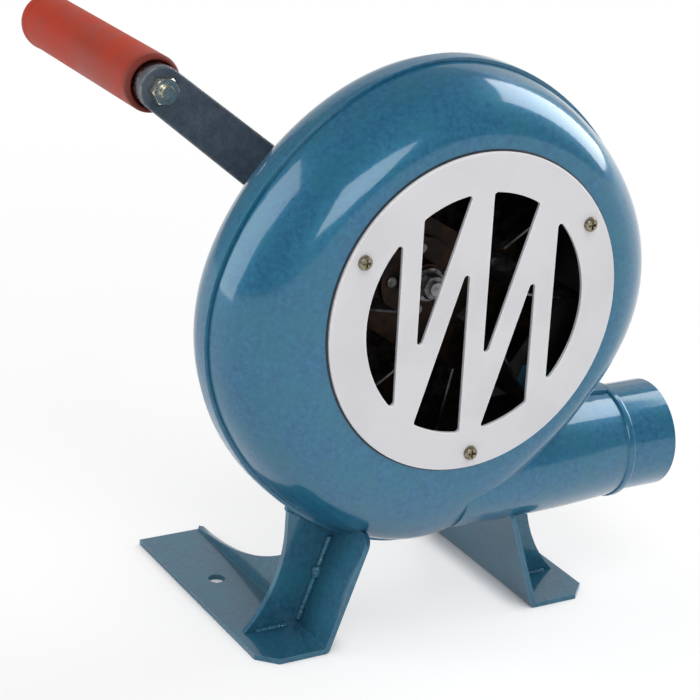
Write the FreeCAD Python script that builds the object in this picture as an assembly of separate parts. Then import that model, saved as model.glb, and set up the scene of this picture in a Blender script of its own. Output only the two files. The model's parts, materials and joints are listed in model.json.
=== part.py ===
"""Hand crank forge blower: pressed casing, geared fan, crank arm with a turning grip.

Millimetres. The origin is on the bench, midway between the two foot bolt holes.
The fan shaft runs along Y: the intake faces -Y and the crank is on the +Y side.
The outlet points along +X and the blower stands up along +Z.
"""
import FreeCAD
import Part

import math
import os

V = FreeCAD.Vector

# Casing
shaft_height = 154.0          # fan shaft above the bench
seam_y = -51.0                # plane where the two shells meet
front_depth = 36.0            # seam to the flat front face
seam_band = 4.0               # straight wall behind the seam
rear_depth = 29.0             # straight wall to the rear crest
shell_wall = 1.5
flat_margin = 3.0             # flat face beyond the intake plate's rim
rear_flat_radius = 55.0
recess_radius = 66.0          # dished centre of the rear shell
recess_depth = 6.0
recess_slope = 4.0            # radial run of the dish's wall
core_radius = 8.0             # open core that the casing form winds round
tongue_angle = -35.0          # where the scroll begins, beside the outlet
tongue_radius = 95.0
right_radius = 101.5
top_radius = 100.0
left_radius = 107.5
lower_left_radius = 110.5
bottom_radius = 116.0
lip_height = 1.6              # rear shell's rim stands this far over the front shell
lip_width = 5.0
lip_gap = 0.05

# Outlet
outlet_rise = 28.0            # outlet axis above the casing's lowest point
outlet_radius = 25.0
neck_start_x = 8.0
neck_middle_x = 60.0
neck_end_x = 98.0
neck_step = 1.0               # neck's end over the mouth, in radius
neck_start_rise = 2.0         # section centres rise slightly towards the scroll
neck_middle_rise = 1.0
neck_start_half_height = 27.0
neck_middle_half_height = 27.5
neck_start_half_depth = 33.0
neck_middle_half_depth = 31.0
spigot_length = 23.5          # mouth beyond the bead
bead_height = 1.8
bead_width = 4.5
bead_round = 0.8              # share of the bead's height rounded off its rims

# Intake plate
plate_land = 6.8              # screw circle to the plate's rim
plate_thickness = 1.6
plate_edge_round = 0.5
intake_radius = 57.0
grille_margin = 4.0           # intake hole to the grille's windows
grille_bar = 9.2
upright_share = 0.625         # spacing of the uprights, as a share of the grille's radius
upright_lean = -1.2
diagonal_share = 0.336        # diagonals' offset from the middle, as a share of it
diagonal_lean = 17.0
opening_round = 1.5
plate_screw_land = 6.2        # intake hole to the screw circle
plate_screw_angle = 32.5
plate_screw_count = 3
plate_screw_radius = 1.7
plate_screw_head_radius = 3.1
plate_screw_head = 2.0
plate_screw_length = 9.0
recess_cross_width = 0.9      # driver recess of every pan head
recess_cross_length = 3.6
recess_cross_depth = 1.1
head_round = 0.6              # share of a head's thickness rounded off its rim
hex_chamfer = 0.8             # share of the height of a hexagon's corner turned down

# Feet
foot_sheet = 2.5
foot_web_x = 53.0             # web's inner corner on the bench
foot_width = 32.0
foot_front_y = -77.0
foot_back_y = 49.0
foot_lean = 19.3              # webs lean inwards by this angle
foot_bend = 3.0               # outside radius between web and flange
web_lap = 14.0                # web's top above the casing's lowest point
web_top_run = 6.0             # web's top behind the seam
web_tail_height = 3.5
web_corner = 6.0
foot_corner_cut = 8.0
foot_hole_radius = 4.0
gusset_head = 9.5             # gusset's upper edge outside the web's foot
gusset_toe_margin = 4.0       # gusset's toe to the flange's outer edge
gusset_waist_lap = 10.0       # heights above the casing's lowest point
gusset_lap = 32.0
neck_notch_lap = 2.0          # right web stops here behind the seam, under the neck

# Gear case on the rear shell
drum_wall = 2.5
drum_gap = 1.85               # layshaft wheel's tips to the drum's wall
drum_edge_round = 1.2
front_boss_radius = 10.0
front_boss_length = 12.0
boss_hole_gap = 0.5
cover_thickness = 2.5
cover_skirt = 7.0
cover_skirt_wall = 2.4
cover_skirt_gap = 0.1
crank_boss_radius = 9.0
crank_boss_length = 13.5
cover_screw_count = 3
cover_screw_angle = 90.0
cover_screw_radius = 1.5
cover_screw_head_radius = 3.0
cover_screw_head = 1.8
case_screw_count = 4
case_screw_angle = 45.0
case_screw_circle = 34.0
case_screw_radius = 2.0
case_screw_head_radius = 3.5
case_screw_head = 2.4
case_screw_tail = 2.0
case_nut_flats = 7.0
case_nut_thickness = 3.0

# Gears
gear_module = 1.0
gear_addendum = 1.0           # tooth height above and below the pitch circle, in modules
gear_dedendum = 1.25
pressure_angle = 20.0
wheel_teeth = 33
pinion_teeth = 12
tooth_shift = 0.35
tooth_thinning = 0.08
flank_steps = 5
wheel_width = 6.0
fan_pinion_width = 7.0
lay_pinion_width = 8.0
lay_angle = -90.0             # layshaft lies below the fan shaft
running_gap = 0.05
wall_gap = 1.5                # gear faces to the case wall
stage_gap = 5.0               # between the two wheels

# Shafts
fan_shaft_radius = 4.0
fan_pinion_seat_radius = 3.0
fan_pilot_radius = 2.5
fan_thread_radius = 3.0
fan_thread_tail = 1.5         # thread beyond the nut
fan_bush_radius = 6.0
crank_shaft_radius = 5.0
crank_bush_radius = 7.0
crank_flats = 8.0
crank_thread_radius = 4.0
crank_tail = 2.0
pilot_bore_depth = 8.0
pilot_end_gap = 0.5
lay_pin_radius = 2.5
lay_sleeve_radius = 5.0
lay_boss_radius = 5.5
lay_float = 0.1               # pinion to its back washer
lay_washer_thickness = 0.8
lay_washer_radius = 5.0
lay_front_gap = 0.3           # case wall to the front washer
lay_back_gap = 0.1            # back washer to the cover's boss
wheel_hub_radius = 9.0
wheel_hub_length = 4.7
hub_end_gap = 0.3
gear_pin_radius = 1.25

# Fan
fan_set_back = 2.5            # case boss to the rear face of the fan disc
fan_disc_rim = 1.0            # disc beyond the blades' tips
fan_disc_thickness = 1.2
fan_hub_flange_radius = 19.0
fan_hub_flange = 2.5
fan_hub_radius = 9.0
fan_hub_length = 12.0
blade_count = 8
blade_inner_radius = 30.0
blade_outer_radius = 71.0
blade_width = 34.0
blade_sheet = 1.0
blade_flange = 9.0
blade_skew = 12.0             # blades lean back from the radius
blade_tip_drop = 6.0          # corner taken off the blade's tip, along the radius
blade_tip_run = 12.0          # and along the shaft
rivet_radius = 1.5
rivet_head_radius = 2.6
rivet_head = 1.0
hub_rivet_count = 4
hub_rivet_circle = 14.0
thrust_washer = 1.0
thrust_washer_radius = 7.0
fan_nut_flats = 10.0
fan_nut_thickness = 5.0
fan_washer_radius = 7.5
fan_washer_thickness = 1.5

# Crank and grip
crank_radius = 120.0
crank_rest_angle = 38.0       # above the -X direction
arm_gap = 5.0                 # crank boss to the arm
arm_thickness = 4.0
arm_hub_radius = 12.0
arm_end_radius = 10.0
arm_edge_round = 0.6
arm_washer_radius = 8.5
arm_washer_thickness = 1.6
arm_nut_flats = 13.0
arm_nut_thickness = 6.5
handle_bolt_radius = 3.0
handle_nut_flats = 11.0
handle_nut_thickness = 5.0
handle_bolt_tail = 2.0
handle_head_flats = 10.0
handle_head = 4.0
handle_washer_gap = 0.7       # washer's rim to the bore round it
handle_washer_thickness = 1.2
collar_gap = 1.3              # collar to the grip's bore round it
collar_length = 10.0
grip_radius = 13.0
grip_length = 125.0
grip_start_gap = 4.0          # arm's outer face to the grip's end
grip_near_wall = 2.2          # round the bore at the arm's end
handle_head_gap = 0.75        # corners of the bolt's head to the far bore
grip_far_bore_depth = 16.0
grip_end_gap = 0.3
grip_dome = 12.0
grip_near_round = 2.0
grip_mouth_inset = 4.5        # dome's run from the side to the far mouth

# Cutting tools run this far past the faces that they cut
cut_past = 1.0

# Sizes that follow from the ones above
plate_screw_circle = intake_radius + plate_screw_land
plate_radius = plate_screw_circle + plate_land
grille_radius = intake_radius - grille_margin
upright_spacing = grille_radius * upright_share
diagonal_offset = grille_radius * diagonal_share
front_flat_radius = plate_radius + flat_margin
wheel_tip_radius = gear_module * (wheel_teeth / 2.0 + gear_addendum - tooth_shift)
lay_distance = gear_module * (wheel_teeth + pinion_teeth) / 2.0
drum_radius = lay_distance + wheel_tip_radius + drum_gap + drum_wall
drum_length = (drum_wall + wall_gap + wheel_width + stage_gap + wheel_width
               + wheel_hub_length + hub_end_gap)
front_y = seam_y - front_depth
crest_y = seam_y + seam_band + rear_depth
case_y = crest_y - recess_depth
case_inner_y = case_y + drum_wall
drum_back_y = case_y + drum_length
cover_y = drum_back_y + cover_thickness
boss_end_y = cover_y + crank_boss_length
casing_low_z = shaft_height - bottom_radius
outlet_z = casing_low_z + outlet_rise
neck_end_radius = outlet_radius + neck_step
mouth_x = neck_end_x + bead_width + spigot_length
foot_hole_x = foot_web_x + foot_width / 2.0
web_height = (casing_low_z + web_lap) / math.cos(math.radians(foot_lean))
web_top_back_y = seam_y + web_top_run
gusset_top_x = foot_web_x + gusset_head
gusset_toe_x = foot_web_x + foot_width - gusset_toe_margin
gusset_waist_z = casing_low_z + gusset_waist_lap
gusset_top_z = casing_low_z + gusset_lap
neck_notch_z = casing_low_z + neck_notch_lap
lay_x = lay_distance * math.cos(math.radians(lay_angle))
lay_z = shaft_height + lay_distance * math.sin(math.radians(lay_angle))
fan_wheel_y = case_inner_y + wall_gap
crank_wheel_y = fan_wheel_y + wheel_width + stage_gap
pinion_overhang = (fan_pinion_width - wheel_width) / 2.0
fan_pinion_y = fan_wheel_y - pinion_overhang
lay_pinion_y = crank_wheel_y - (lay_pinion_width - wheel_width) / 2.0
lay_pinion_end_y = lay_pinion_y + lay_pinion_width
lay_boss_length = drum_back_y - lay_pinion_end_y - lay_float - lay_washer_thickness - lay_back_gap
crank_front_y = crank_wheel_y - stage_gap / 2.0
arm_y = boss_end_y + arm_gap
arm_back_y = arm_y + arm_thickness
front_boss_y = case_y - front_boss_length
fan_back_y = front_boss_y - fan_set_back
fan_disc_radius = blade_outer_radius + fan_disc_rim
handle_x = -crank_radius * math.cos(math.radians(crank_rest_angle))
handle_z = shaft_height + crank_radius * math.sin(math.radians(crank_rest_angle))
grip_y = arm_back_y + grip_start_gap
grip_end_y = grip_y + grip_length
grip_floor_y = grip_end_y - grip_far_bore_depth
grip_near_bore = grip_radius - grip_near_wall
grip_far_bore = handle_head_flats / math.sqrt(3.0) + handle_head_gap
grip_mouth_radius = grip_radius - grip_mouth_inset
collar_radius = grip_near_bore - collar_gap
handle_washer_radius = grip_far_bore - handle_washer_gap
plate_y = front_y - plate_thickness
far = 2.0 * (shaft_height + crank_radius)


def at(radius, angle, y):
    """Point at a radius and an angle in degrees round the fan shaft."""
    turn = math.radians(angle)
    return V(radius * math.cos(turn), y, shaft_height + radius * math.sin(turn))


def rod(radius, start, end, x=0.0, z=shaft_height):
    """Round bar along Y."""
    return Part.makeCylinder(radius, end - start, V(x, start, z), V(0, 1, 0))


def pipe(outer, inner, start, end, x=0.0, z=shaft_height):
    """Round tube along Y."""
    return rod(outer, start, end, x, z).cut(rod(inner, start, end, x, z))


def hexagon(flats, start, end, x=0.0, z=shaft_height):
    """Hexagonal bar along Y, with its corners turned down as on a nut."""
    corner = flats / math.sqrt(3.0)
    points = []
    for index in range(7):
        turn = math.radians(60.0 * index)
        points.append(V(x + corner * math.cos(turn), start, z + corner * math.sin(turn)))
    bar = Part.Face(Part.makePolygon(points)).extrude(V(0, end - start, 0))
    turned = rod(corner, start, end, x, z)
    rims = [edge for edge in turned.Edges if edge.Closed]
    return bar.common(turned.makeChamfer((corner - flats / 2.0) * hex_chamfer, rims))


def fused(shapes):
    """One solid from several that touch or overlap."""
    whole = shapes[0]
    for shape in shapes[1:]:
        whole = whole.fuse(shape)
    return whole.removeSplitter()


def slab(low_x, high_x, low_y, high_y, low_z, high_z):
    size = V(high_x - low_x, high_y - low_y, high_z - low_z)
    return Part.makeBox(size.x, size.y, size.z, V(low_x, low_y, low_z))


def turned_along_y(points_and_arcs, x=0.0, z=shaft_height):
    """Solid of revolution about Y from edges drawn with X as radius."""
    face = Part.Face(Part.Wire(points_and_arcs))
    solid = face.revolve(V(0, 0, 0), V(0, 1, 0), 360)
    solid.translate(V(x, 0, z))
    return solid


def lines(points):
    """Straight edges through a list of (x, y) pairs."""
    return [Part.makeLine(V(*a, 0), V(*b, 0)) for a, b in zip(points, points[1:])]


# Casing


def scroll_outline():
    """Closed spline of the casing seen along the shaft, from its radius in each direction."""
    stations = [
        (tongue_angle, tongue_radius),
        (10.0, right_radius),
        (90.0, top_radius),
        (180.0, left_radius),
        (225.0, lower_left_radius),
        (270.0, bottom_radius),
    ]
    curve = Part.BSplineCurve()
    curve.interpolate([at(radius, angle, 0) for angle, radius in stations], True)
    return curve


def quarter(centre_r, reach, centre_y, drop, angle):
    """Quarter ellipse of the casing's section, from the side wall to the flat face."""
    steps = 6
    points = []
    for index in range(steps + 1):
        turn = math.pi / 2.0 * index / steps
        radius = centre_r + reach * math.cos(turn)
        points.append(at(radius, angle, centre_y + drop * math.sin(turn)))
    curve = Part.BSplineCurve()
    curve.interpolate(points)
    return curve.toShape()


def scroll_form(grow):
    """Closed ring of the casing's section, grown outwards by the given amount."""
    outline = scroll_outline()
    first = outline.FirstParameter
    span = outline.LastParameter - first
    count = 18
    sections = []
    for index in range(count):
        point = outline.value(first + span * index / count)
        rise = point.z - shaft_height
        angle = math.degrees(math.atan2(rise, point.x))
        radius = math.hypot(point.x, rise) + grow
        front = front_y - grow
        rear = crest_y + grow
        band_y = seam_y + seam_band
        side = Part.makeLine(at(radius, angle, seam_y), at(radius, angle, band_y))
        front_arc = quarter(front_flat_radius, radius - front_flat_radius, seam_y,
                            front - seam_y, angle)
        rear_arc = quarter(rear_flat_radius, radius - rear_flat_radius, band_y,
                           rear - band_y, angle)
        front_flat = Part.makeLine(at(front_flat_radius, angle, front),
                                   at(core_radius, angle, front))
        core = Part.makeLine(at(core_radius, angle, front), at(core_radius, angle, rear))
        rear_flat = Part.makeLine(at(core_radius, angle, rear),
                                  at(rear_flat_radius, angle, rear))
        sections.append(Part.Wire([front_arc, front_flat, core, rear_flat, rear_arc, side]))
    return Part.makeLoft(sections, True, False, True)


def dish(grow):
    """The recess in the rear shell, as a solid to cut away."""
    floor_y = crest_y - recess_depth + grow
    lip_y = crest_y + shell_wall
    slope = recess_slope / recess_depth
    floor_r = recess_radius - grow
    lip_r = floor_r + slope * (lip_y - floor_y)
    profile = [(0, floor_y), (floor_r, floor_y), (lip_r, lip_y), (0, lip_y), (0, floor_y)]
    return turned_along_y(lines(profile))


def neck_section(x, rise, half_height, half_depth):
    """Oval cross section of the neck, drawn from the top round towards the back."""
    centre = V(x, seam_y, outlet_z + rise)
    quarters = 4
    steps = 3 * quarters
    points = []
    for index in range(steps):
        turn = 2.0 * math.pi * index / steps
        points.append(centre + V(0, half_depth * math.sin(turn), half_height * math.cos(turn)))
    curve = Part.BSplineCurve()
    curve.interpolate(points, True)
    return Part.Wire([curve.toShape()])


def neck_form(grow):
    """Outlet neck from the scroll to the bead, then the round mouth."""
    start = neck_section(neck_start_x, neck_start_rise, neck_start_half_height + grow,
                         neck_start_half_depth + grow)
    middle = neck_section(neck_middle_x, neck_middle_rise, neck_middle_half_height + grow,
                          neck_middle_half_depth + grow)
    end = neck_section(neck_end_x, 0.0, neck_end_radius + grow, neck_end_radius + grow)
    return Part.makeLoft([start, middle, end], True, False)


def along_outlet(radius, start, end):
    return Part.makeCylinder(radius, end - start, V(start, seam_y, outlet_z), V(1, 0, 0))


def bead_form():
    """Raised ring round the mouth that stops a hose."""
    ring = along_outlet(outlet_radius + bead_height, neck_end_x, neck_end_x + bead_width)
    rims = [edge for edge in ring.Edges if edge.Closed]
    return ring.makeFillet(bead_height * bead_round, rims)


def casing_outside():
    body = scroll_form(0.0).cut(dish(0.0))
    mouth = along_outlet(outlet_radius, neck_end_x - bead_width, mouth_x)
    return body.fuse([neck_form(0.0), mouth, bead_form()])


def casing_inside():
    body = scroll_form(-shell_wall).cut(dish(-shell_wall))
    mouth = along_outlet(outlet_radius - shell_wall, neck_end_x - bead_width, mouth_x + cut_past)
    return body.fuse([neck_form(-shell_wall), mouth])


def casing_lip():
    """Rolled rim of the rear shell, standing over the edge of the front shell."""
    low_y = seam_y - lip_width
    high_y = seam_y + seam_band / 2.0
    band = slab(-far, far, low_y, high_y, 0.0, far)
    return scroll_form(lip_height).fuse(neck_form(lip_height)).common(band)


def seam_side(behind):
    """Block that holds everything on one side of the seam."""
    low_y = seam_y if behind else -far
    high_y = far if behind else seam_y
    return slab(-far, far, low_y, high_y, 0.0, far)


def ring_places(radius, count, first):
    """Points spread evenly on a circle round the fan shaft."""
    return [at(radius, first + 360.0 * index / count, 0) for index in range(count)]


def plate_screw_places():
    return ring_places(plate_screw_circle, plate_screw_count, plate_screw_angle)


def case_screw_places():
    return ring_places(case_screw_circle, case_screw_count, case_screw_angle)


def front_shell(wall):
    shell = wall.common(seam_side(False))
    cuts = [rod(intake_radius, front_y - cut_past, seam_y)]
    for place in plate_screw_places():
        cuts.append(rod(plate_screw_radius, front_y - cut_past, seam_y, place.x, place.z))
    return shell.cut(cuts)


def rear_shell(wall, outside, inside):
    shell = wall.common(seam_side(True))
    edge = casing_lip().cut([inside, outside])
    edge = edge.cut(scroll_form(lip_gap).fuse(neck_form(lip_gap)).common(seam_side(False)))
    whole = shell.fuse(edge)
    cuts = [rod(front_boss_radius + boss_hole_gap, seam_y, case_y + cut_past)]
    for place in case_screw_places():
        cuts.append(rod(case_screw_radius, seam_y, case_y + cut_past, place.x, place.z))
    return whole.cut(cuts)


# Intake plate


def bar(x, lean):
    """Grille bar across the opening, leaning by an angle from upright."""
    reach = 2.0 * grille_radius
    half = grille_bar / 2.0
    strip = slab(-half, half, plate_y - cut_past, front_y + cut_past, -reach, reach)
    strip.rotate(V(0, 0, 0), V(0, 1, 0), lean)
    strip.translate(V(x, 0, shaft_height))
    return strip


def grille_openings():
    """Windows left between three uprights and two diagonals."""
    bars = [bar(upright_spacing * index, upright_lean) for index in (-1, 0, 1)]
    bars += [bar(diagonal_offset * side, diagonal_lean) for side in (-1, 1)]
    windows = rod(grille_radius, plate_y - cut_past, front_y + cut_past).cut(bars)
    rounded = []
    for window in windows.Solids:
        upright = [edge for edge in window.Edges
                   if abs(edge.Vertexes[0].Y - edge.Vertexes[-1].Y) > plate_thickness]
        rounded.append(window.makeFillet(opening_round, upright))
    return rounded


def intake_plate():
    disc = rod(plate_radius, plate_y, front_y)
    middle_y = (plate_y + front_y) / 2.0
    rim = [edge for edge in disc.Edges if edge.Closed and edge.CenterOfMass.y < middle_y]
    disc = disc.makeFillet(plate_edge_round, rim)
    cuts = grille_openings()
    for place in plate_screw_places():
        cuts.append(rod(plate_screw_radius, plate_y, front_y, place.x, place.z))
    return disc.cut(cuts)


def pan_head(radius, thickness, start, x, z, facing):
    """Domed screw head with a cross recess; facing is -1 when its top looks along -Y."""
    end = start + facing * thickness
    head = rod(radius, min(start, end), max(start, end), x, z)
    top = [edge for edge in head.Edges if edge.Closed and abs(edge.CenterOfMass.y - end) < 0.01]
    head = head.makeFillet(thickness * head_round, top)
    half = recess_cross_width / 2.0
    reach = recess_cross_length / 2.0
    low = min(end, end - facing * recess_cross_depth)
    high = max(end, end - facing * recess_cross_depth)
    cross = [slab(x - half, x + half, low, high, z - reach, z + reach),
             slab(x - reach, x + reach, low, high, z - half, z + half)]
    return head.cut(cross)


def plate_screws():
    group = []
    for place in plate_screw_places():
        shank = rod(plate_screw_radius, plate_y, plate_y + plate_screw_length, place.x, place.z)
        head = pan_head(plate_screw_head_radius, plate_screw_head, plate_y, place.x, place.z, -1)
        group.append(shank.fuse(head))
    return Part.makeCompound(group)


# Feet


def web_outline():
    """Side view of a web: upright front edge, long tail swept towards the back."""
    tail = V(0, foot_back_y, web_tail_height)
    across = foot_back_y - web_top_back_y
    rise = web_height - web_tail_height
    sweep = []
    steps = 8
    for index in range(steps + 1):
        turn = math.pi / 2.0 * index / steps
        sweep.append(V(0, foot_back_y - across * math.sin(turn),
                       tail.z + rise * (1.0 - math.cos(turn))))
    curve = Part.BSplineCurve()
    curve.interpolate(sweep)
    front = V(0, foot_front_y, 0)
    corner = web_corner * math.sqrt(0.5)
    inner = V(0, foot_front_y + web_corner, web_height - web_corner)
    arc = Part.Arc(V(0, foot_front_y, web_height - web_corner),
                   V(0, inner.y - corner, inner.z + corner),
                   V(0, foot_front_y + web_corner, web_height))
    edges = [Part.makeLine(V(0, foot_back_y, 0), tail), curve.toShape(),
             Part.makeLine(sweep[-1], V(0, foot_front_y + web_corner, web_height)),
             arc.toShape(), Part.makeLine(V(0, foot_front_y, web_height - web_corner), front),
             Part.makeLine(front, V(0, foot_back_y, 0))]
    return Part.Wire(Part.sortEdges(edges)[0])


def foot_blank():
    """Right-hand foot before it is cut to the casing: flange and leaning web."""
    web = Part.Face(web_outline()).extrude(V(foot_sheet, 0, 0))
    web.rotate(V(0, 0, 0), V(0, 1, 0), -foot_lean)
    web.translate(V(foot_web_x, 0, 0))
    outer_x = foot_web_x + foot_width
    cut_x = outer_x - foot_corner_cut
    cut_y = foot_front_y + foot_corner_cut
    corners = [V(foot_web_x, foot_front_y, 0), V(cut_x, foot_front_y, 0), V(outer_x, cut_y, 0),
               V(outer_x, foot_back_y, 0), V(foot_web_x, foot_back_y, 0),
               V(foot_web_x, foot_front_y, 0)]
    flange = Part.Face(Part.makePolygon(corners)).extrude(V(0, 0, foot_sheet))
    hole = Part.makeCylinder(foot_hole_radius, foot_sheet, V(foot_hole_x, 0, 0))
    below = slab(0, outer_x, foot_front_y, foot_back_y, -foot_sheet, 0)
    foot = fused([web, flange]).cut([hole, below])
    bend = [edge for edge in foot.Edges if abs(edge.CenterOfMass.z) < 0.01
            and abs(edge.CenterOfMass.x - foot_web_x) < 0.01]
    return foot.makeFillet(foot_bend, bend)


def gusset_blank():
    """Right-hand gusset at the seam: upright plate between web and flange."""
    low_z = foot_sheet
    lean = math.tan(math.radians(foot_lean))
    inner_low = foot_web_x + (foot_sheet / math.cos(math.radians(foot_lean))) - lean * low_z
    inner_high = inner_low - lean * (gusset_top_z - low_z)
    run = gusset_toe_x - gusset_top_x
    rise = gusset_waist_z - low_z
    radius = (run * run + rise * rise) / (2.0 * run)
    sweep = math.asin(rise / radius) / 2.0
    middle = V(gusset_top_x + radius * (1.0 - math.cos(sweep)), 0,
               gusset_waist_z - radius * math.sin(sweep))
    waist = V(gusset_top_x, 0, gusset_waist_z)
    toe = V(gusset_toe_x, 0, low_z)
    arc = Part.Arc(toe, middle, waist).toShape()
    edges = [Part.makeLine(V(inner_low, 0, low_z), toe), arc,
             Part.makeLine(waist, V(gusset_top_x, 0, gusset_top_z)),
             Part.makeLine(V(gusset_top_x, 0, gusset_top_z), V(inner_high, 0, gusset_top_z)),
             Part.makeLine(V(inner_high, 0, gusset_top_z), V(inner_low, 0, low_z))]
    plate = Part.Face(Part.Wire(edges)).extrude(V(0, foot_sheet, 0))
    plate.translate(V(0, seam_y, 0))
    return plate


def largest(shape):
    """The biggest piece left by a cut; the offcuts are thrown away."""
    return max(shape.Solids, key=lambda solid: solid.Volume)


def mirrored(shape):
    return shape.mirror(V(0, 0, 0), V(1, 0, 0))


# Gear case


def radial_hole(radius, angle, inner, outer, y):
    """Bar that points away from the shaft at an angle, for screws through the drum."""
    start = at(inner, angle, y)
    end = at(outer, angle, y)
    return Part.makeCylinder(radius, outer - inner, start, end - start)


def cover_screw_angles():
    return [cover_screw_angle + 360.0 * index / cover_screw_count
            for index in range(cover_screw_count)]


def cover_screw_y():
    return drum_back_y - cover_skirt / 2.0


def gear_housing():
    wall = rod(drum_radius, case_y, drum_back_y).cut(
        rod(drum_radius - drum_wall, case_inner_y, drum_back_y))
    boss = rod(front_boss_radius, front_boss_y, case_inner_y)
    cup = fused([wall, boss])
    cuts = [rod(fan_bush_radius, front_boss_y, case_inner_y),
            rod(lay_pin_radius, case_y, case_inner_y, lay_x, lay_z)]
    for place in case_screw_places():
        cuts.append(rod(case_screw_radius, case_y, case_inner_y, place.x, place.z))
    for angle in cover_screw_angles():
        cuts.append(radial_hole(cover_screw_radius, angle, drum_radius - 2.0 * drum_wall,
                                drum_radius + cut_past, cover_screw_y()))
    return cup.cut(cuts)


def gear_cover():
    disc = rod(drum_radius, drum_back_y, cover_y)
    rim = [edge for edge in disc.Edges if edge.Closed and edge.CenterOfMass.y > cover_y - 0.1]
    disc = disc.makeFillet(drum_edge_round, rim)
    skirt_outer = drum_radius - drum_wall - cover_skirt_gap
    skirt = pipe(skirt_outer, skirt_outer - cover_skirt_wall, drum_back_y - cover_skirt, drum_back_y)
    boss = rod(crank_boss_radius, drum_back_y, boss_end_y)
    lay_boss = rod(lay_boss_radius, drum_back_y - lay_boss_length, drum_back_y, lay_x, lay_z)
    cover = fused([disc, skirt, boss, lay_boss])
    cuts = [rod(crank_bush_radius, drum_back_y, boss_end_y),
            rod(lay_pin_radius, drum_back_y - lay_boss_length, drum_back_y, lay_x, lay_z)]
    for angle in cover_screw_angles():
        cuts.append(radial_hole(cover_screw_radius, angle, drum_radius - 3.0 * drum_wall,
                                drum_radius, cover_screw_y()))
    return cover.cut(cuts)


def cover_screws():
    group = []
    for angle in cover_screw_angles():
        shank = radial_hole(cover_screw_radius, angle, drum_radius - 2.0 * drum_wall,
                            drum_radius, cover_screw_y())
        head = radial_hole(cover_screw_head_radius, angle, drum_radius,
                           drum_radius + cover_screw_head, cover_screw_y())
        seat = rod(drum_radius, drum_back_y - cover_skirt, drum_back_y)
        sunk = radial_hole(cover_screw_head_radius, angle, drum_radius - cut_past,
                           drum_radius, cover_screw_y()).cut(seat)
        outer = at(drum_radius + cover_screw_head, angle, cover_screw_y())
        top = [edge for edge in head.Edges
               if edge.Closed and (edge.CenterOfMass - outer).Length < 0.01]
        head = head.makeFillet(cover_screw_head * head_round, top)
        group.append(fused([shank, head, sunk]))
    return Part.makeCompound(group)


def case_screws():
    group = []
    tip_y = case_y - shell_wall - case_nut_thickness - case_screw_tail
    for place in case_screw_places():
        shank = rod(case_screw_radius, tip_y, case_inner_y, place.x, place.z)
        head = pan_head(case_screw_head_radius, case_screw_head, case_inner_y, place.x, place.z, 1)
        group.append(shank.fuse(head))
    return Part.makeCompound(group)


def case_nuts():
    group = []
    nut_y = case_y - shell_wall
    for place in case_screw_places():
        nut = hexagon(case_nut_flats, nut_y - case_nut_thickness, nut_y, place.x, place.z)
        hole = rod(case_screw_radius, nut_y - case_nut_thickness, nut_y, place.x, place.z)
        group.append(nut.cut(hole))
    return Part.makeCompound(group)


# Gears


def gear(teeth, shift, phase, start, width, x, z):
    """Involute spur gear blank; phase is the angle of one tooth's centre."""
    pressure = math.radians(pressure_angle)
    pitch = gear_module * teeth / 2.0
    base = pitch * math.cos(pressure)
    tip = pitch + gear_module * (gear_addendum + shift)
    root = pitch - gear_module * (gear_dedendum - shift)
    half_pitch = (math.pi / 2.0 + 2.0 * shift * math.tan(pressure)) / teeth
    half_pitch -= tooth_thinning / (2.0 * pitch)
    involute = math.tan(pressure) - pressure
    low = max(base, root)

    def half_angle(radius):
        local = math.acos(min(1.0, base / radius))
        return half_pitch + involute - (math.tan(local) - local)

    def spot(radius, turn):
        return V(x + radius * math.cos(turn), start, z + radius * math.sin(turn))

    flank = [low + (tip - low) * (index / flank_steps) for index in range(flank_steps + 1)]
    points = []
    for tooth in range(teeth):
        centre = math.radians(phase) + 2.0 * math.pi * tooth / teeth
        if root < low:
            points.append(spot(root, centre - half_angle(low)))
        points += [spot(radius, centre - half_angle(radius)) for radius in flank]
        points += [spot(radius, centre + half_angle(radius)) for radius in reversed(flank)]
        if root < low:
            points.append(spot(root, centre + half_angle(low)))
    points.append(points[0])
    return Part.Face(Part.makePolygon(points)).extrude(V(0, width, 0))


def crank_gear():
    wheel = gear(wheel_teeth, -tooth_shift, lay_angle, crank_wheel_y, wheel_width, 0.0, shaft_height)
    hub = rod(wheel_hub_radius, crank_wheel_y + wheel_width, drum_back_y - hub_end_gap)
    blank = fused([wheel, hub])
    return blank.cut([rod(crank_shaft_radius, crank_wheel_y, drum_back_y), gear_pin()])


def gear_pin_y():
    return (crank_wheel_y + wheel_width + drum_back_y - hub_end_gap) / 2.0


def gear_pin():
    """Cross pin that fixes the crank wheel to its shaft."""
    return Part.makeCylinder(gear_pin_radius, 2.0 * wheel_hub_radius,
                             V(-wheel_hub_radius, gear_pin_y(), shaft_height), V(1, 0, 0))


def lay_gear():
    wheel = gear(wheel_teeth, -tooth_shift, lay_angle + 180.0, fan_wheel_y, wheel_width, lay_x, lay_z)
    return wheel.cut(rod(lay_sleeve_radius, fan_wheel_y, fan_wheel_y + wheel_width, lay_x, lay_z))


def lay_pinion():
    """Small gear of the layshaft with the long sleeve that carries the wheel."""
    half_tooth = 180.0 / pinion_teeth
    teeth = gear(pinion_teeth, tooth_shift, lay_angle + 180.0 + half_tooth, lay_pinion_y,
                 lay_pinion_width, lay_x, lay_z)
    sleeve = rod(lay_sleeve_radius, fan_wheel_y, lay_pinion_y, lay_x, lay_z)
    bore = rod(lay_pin_radius + running_gap, fan_wheel_y, lay_pinion_y + lay_pinion_width, lay_x, lay_z)
    return fused([teeth, sleeve]).cut(bore)


def lay_pin():
    return rod(lay_pin_radius, case_y, drum_back_y, lay_x, lay_z)


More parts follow.
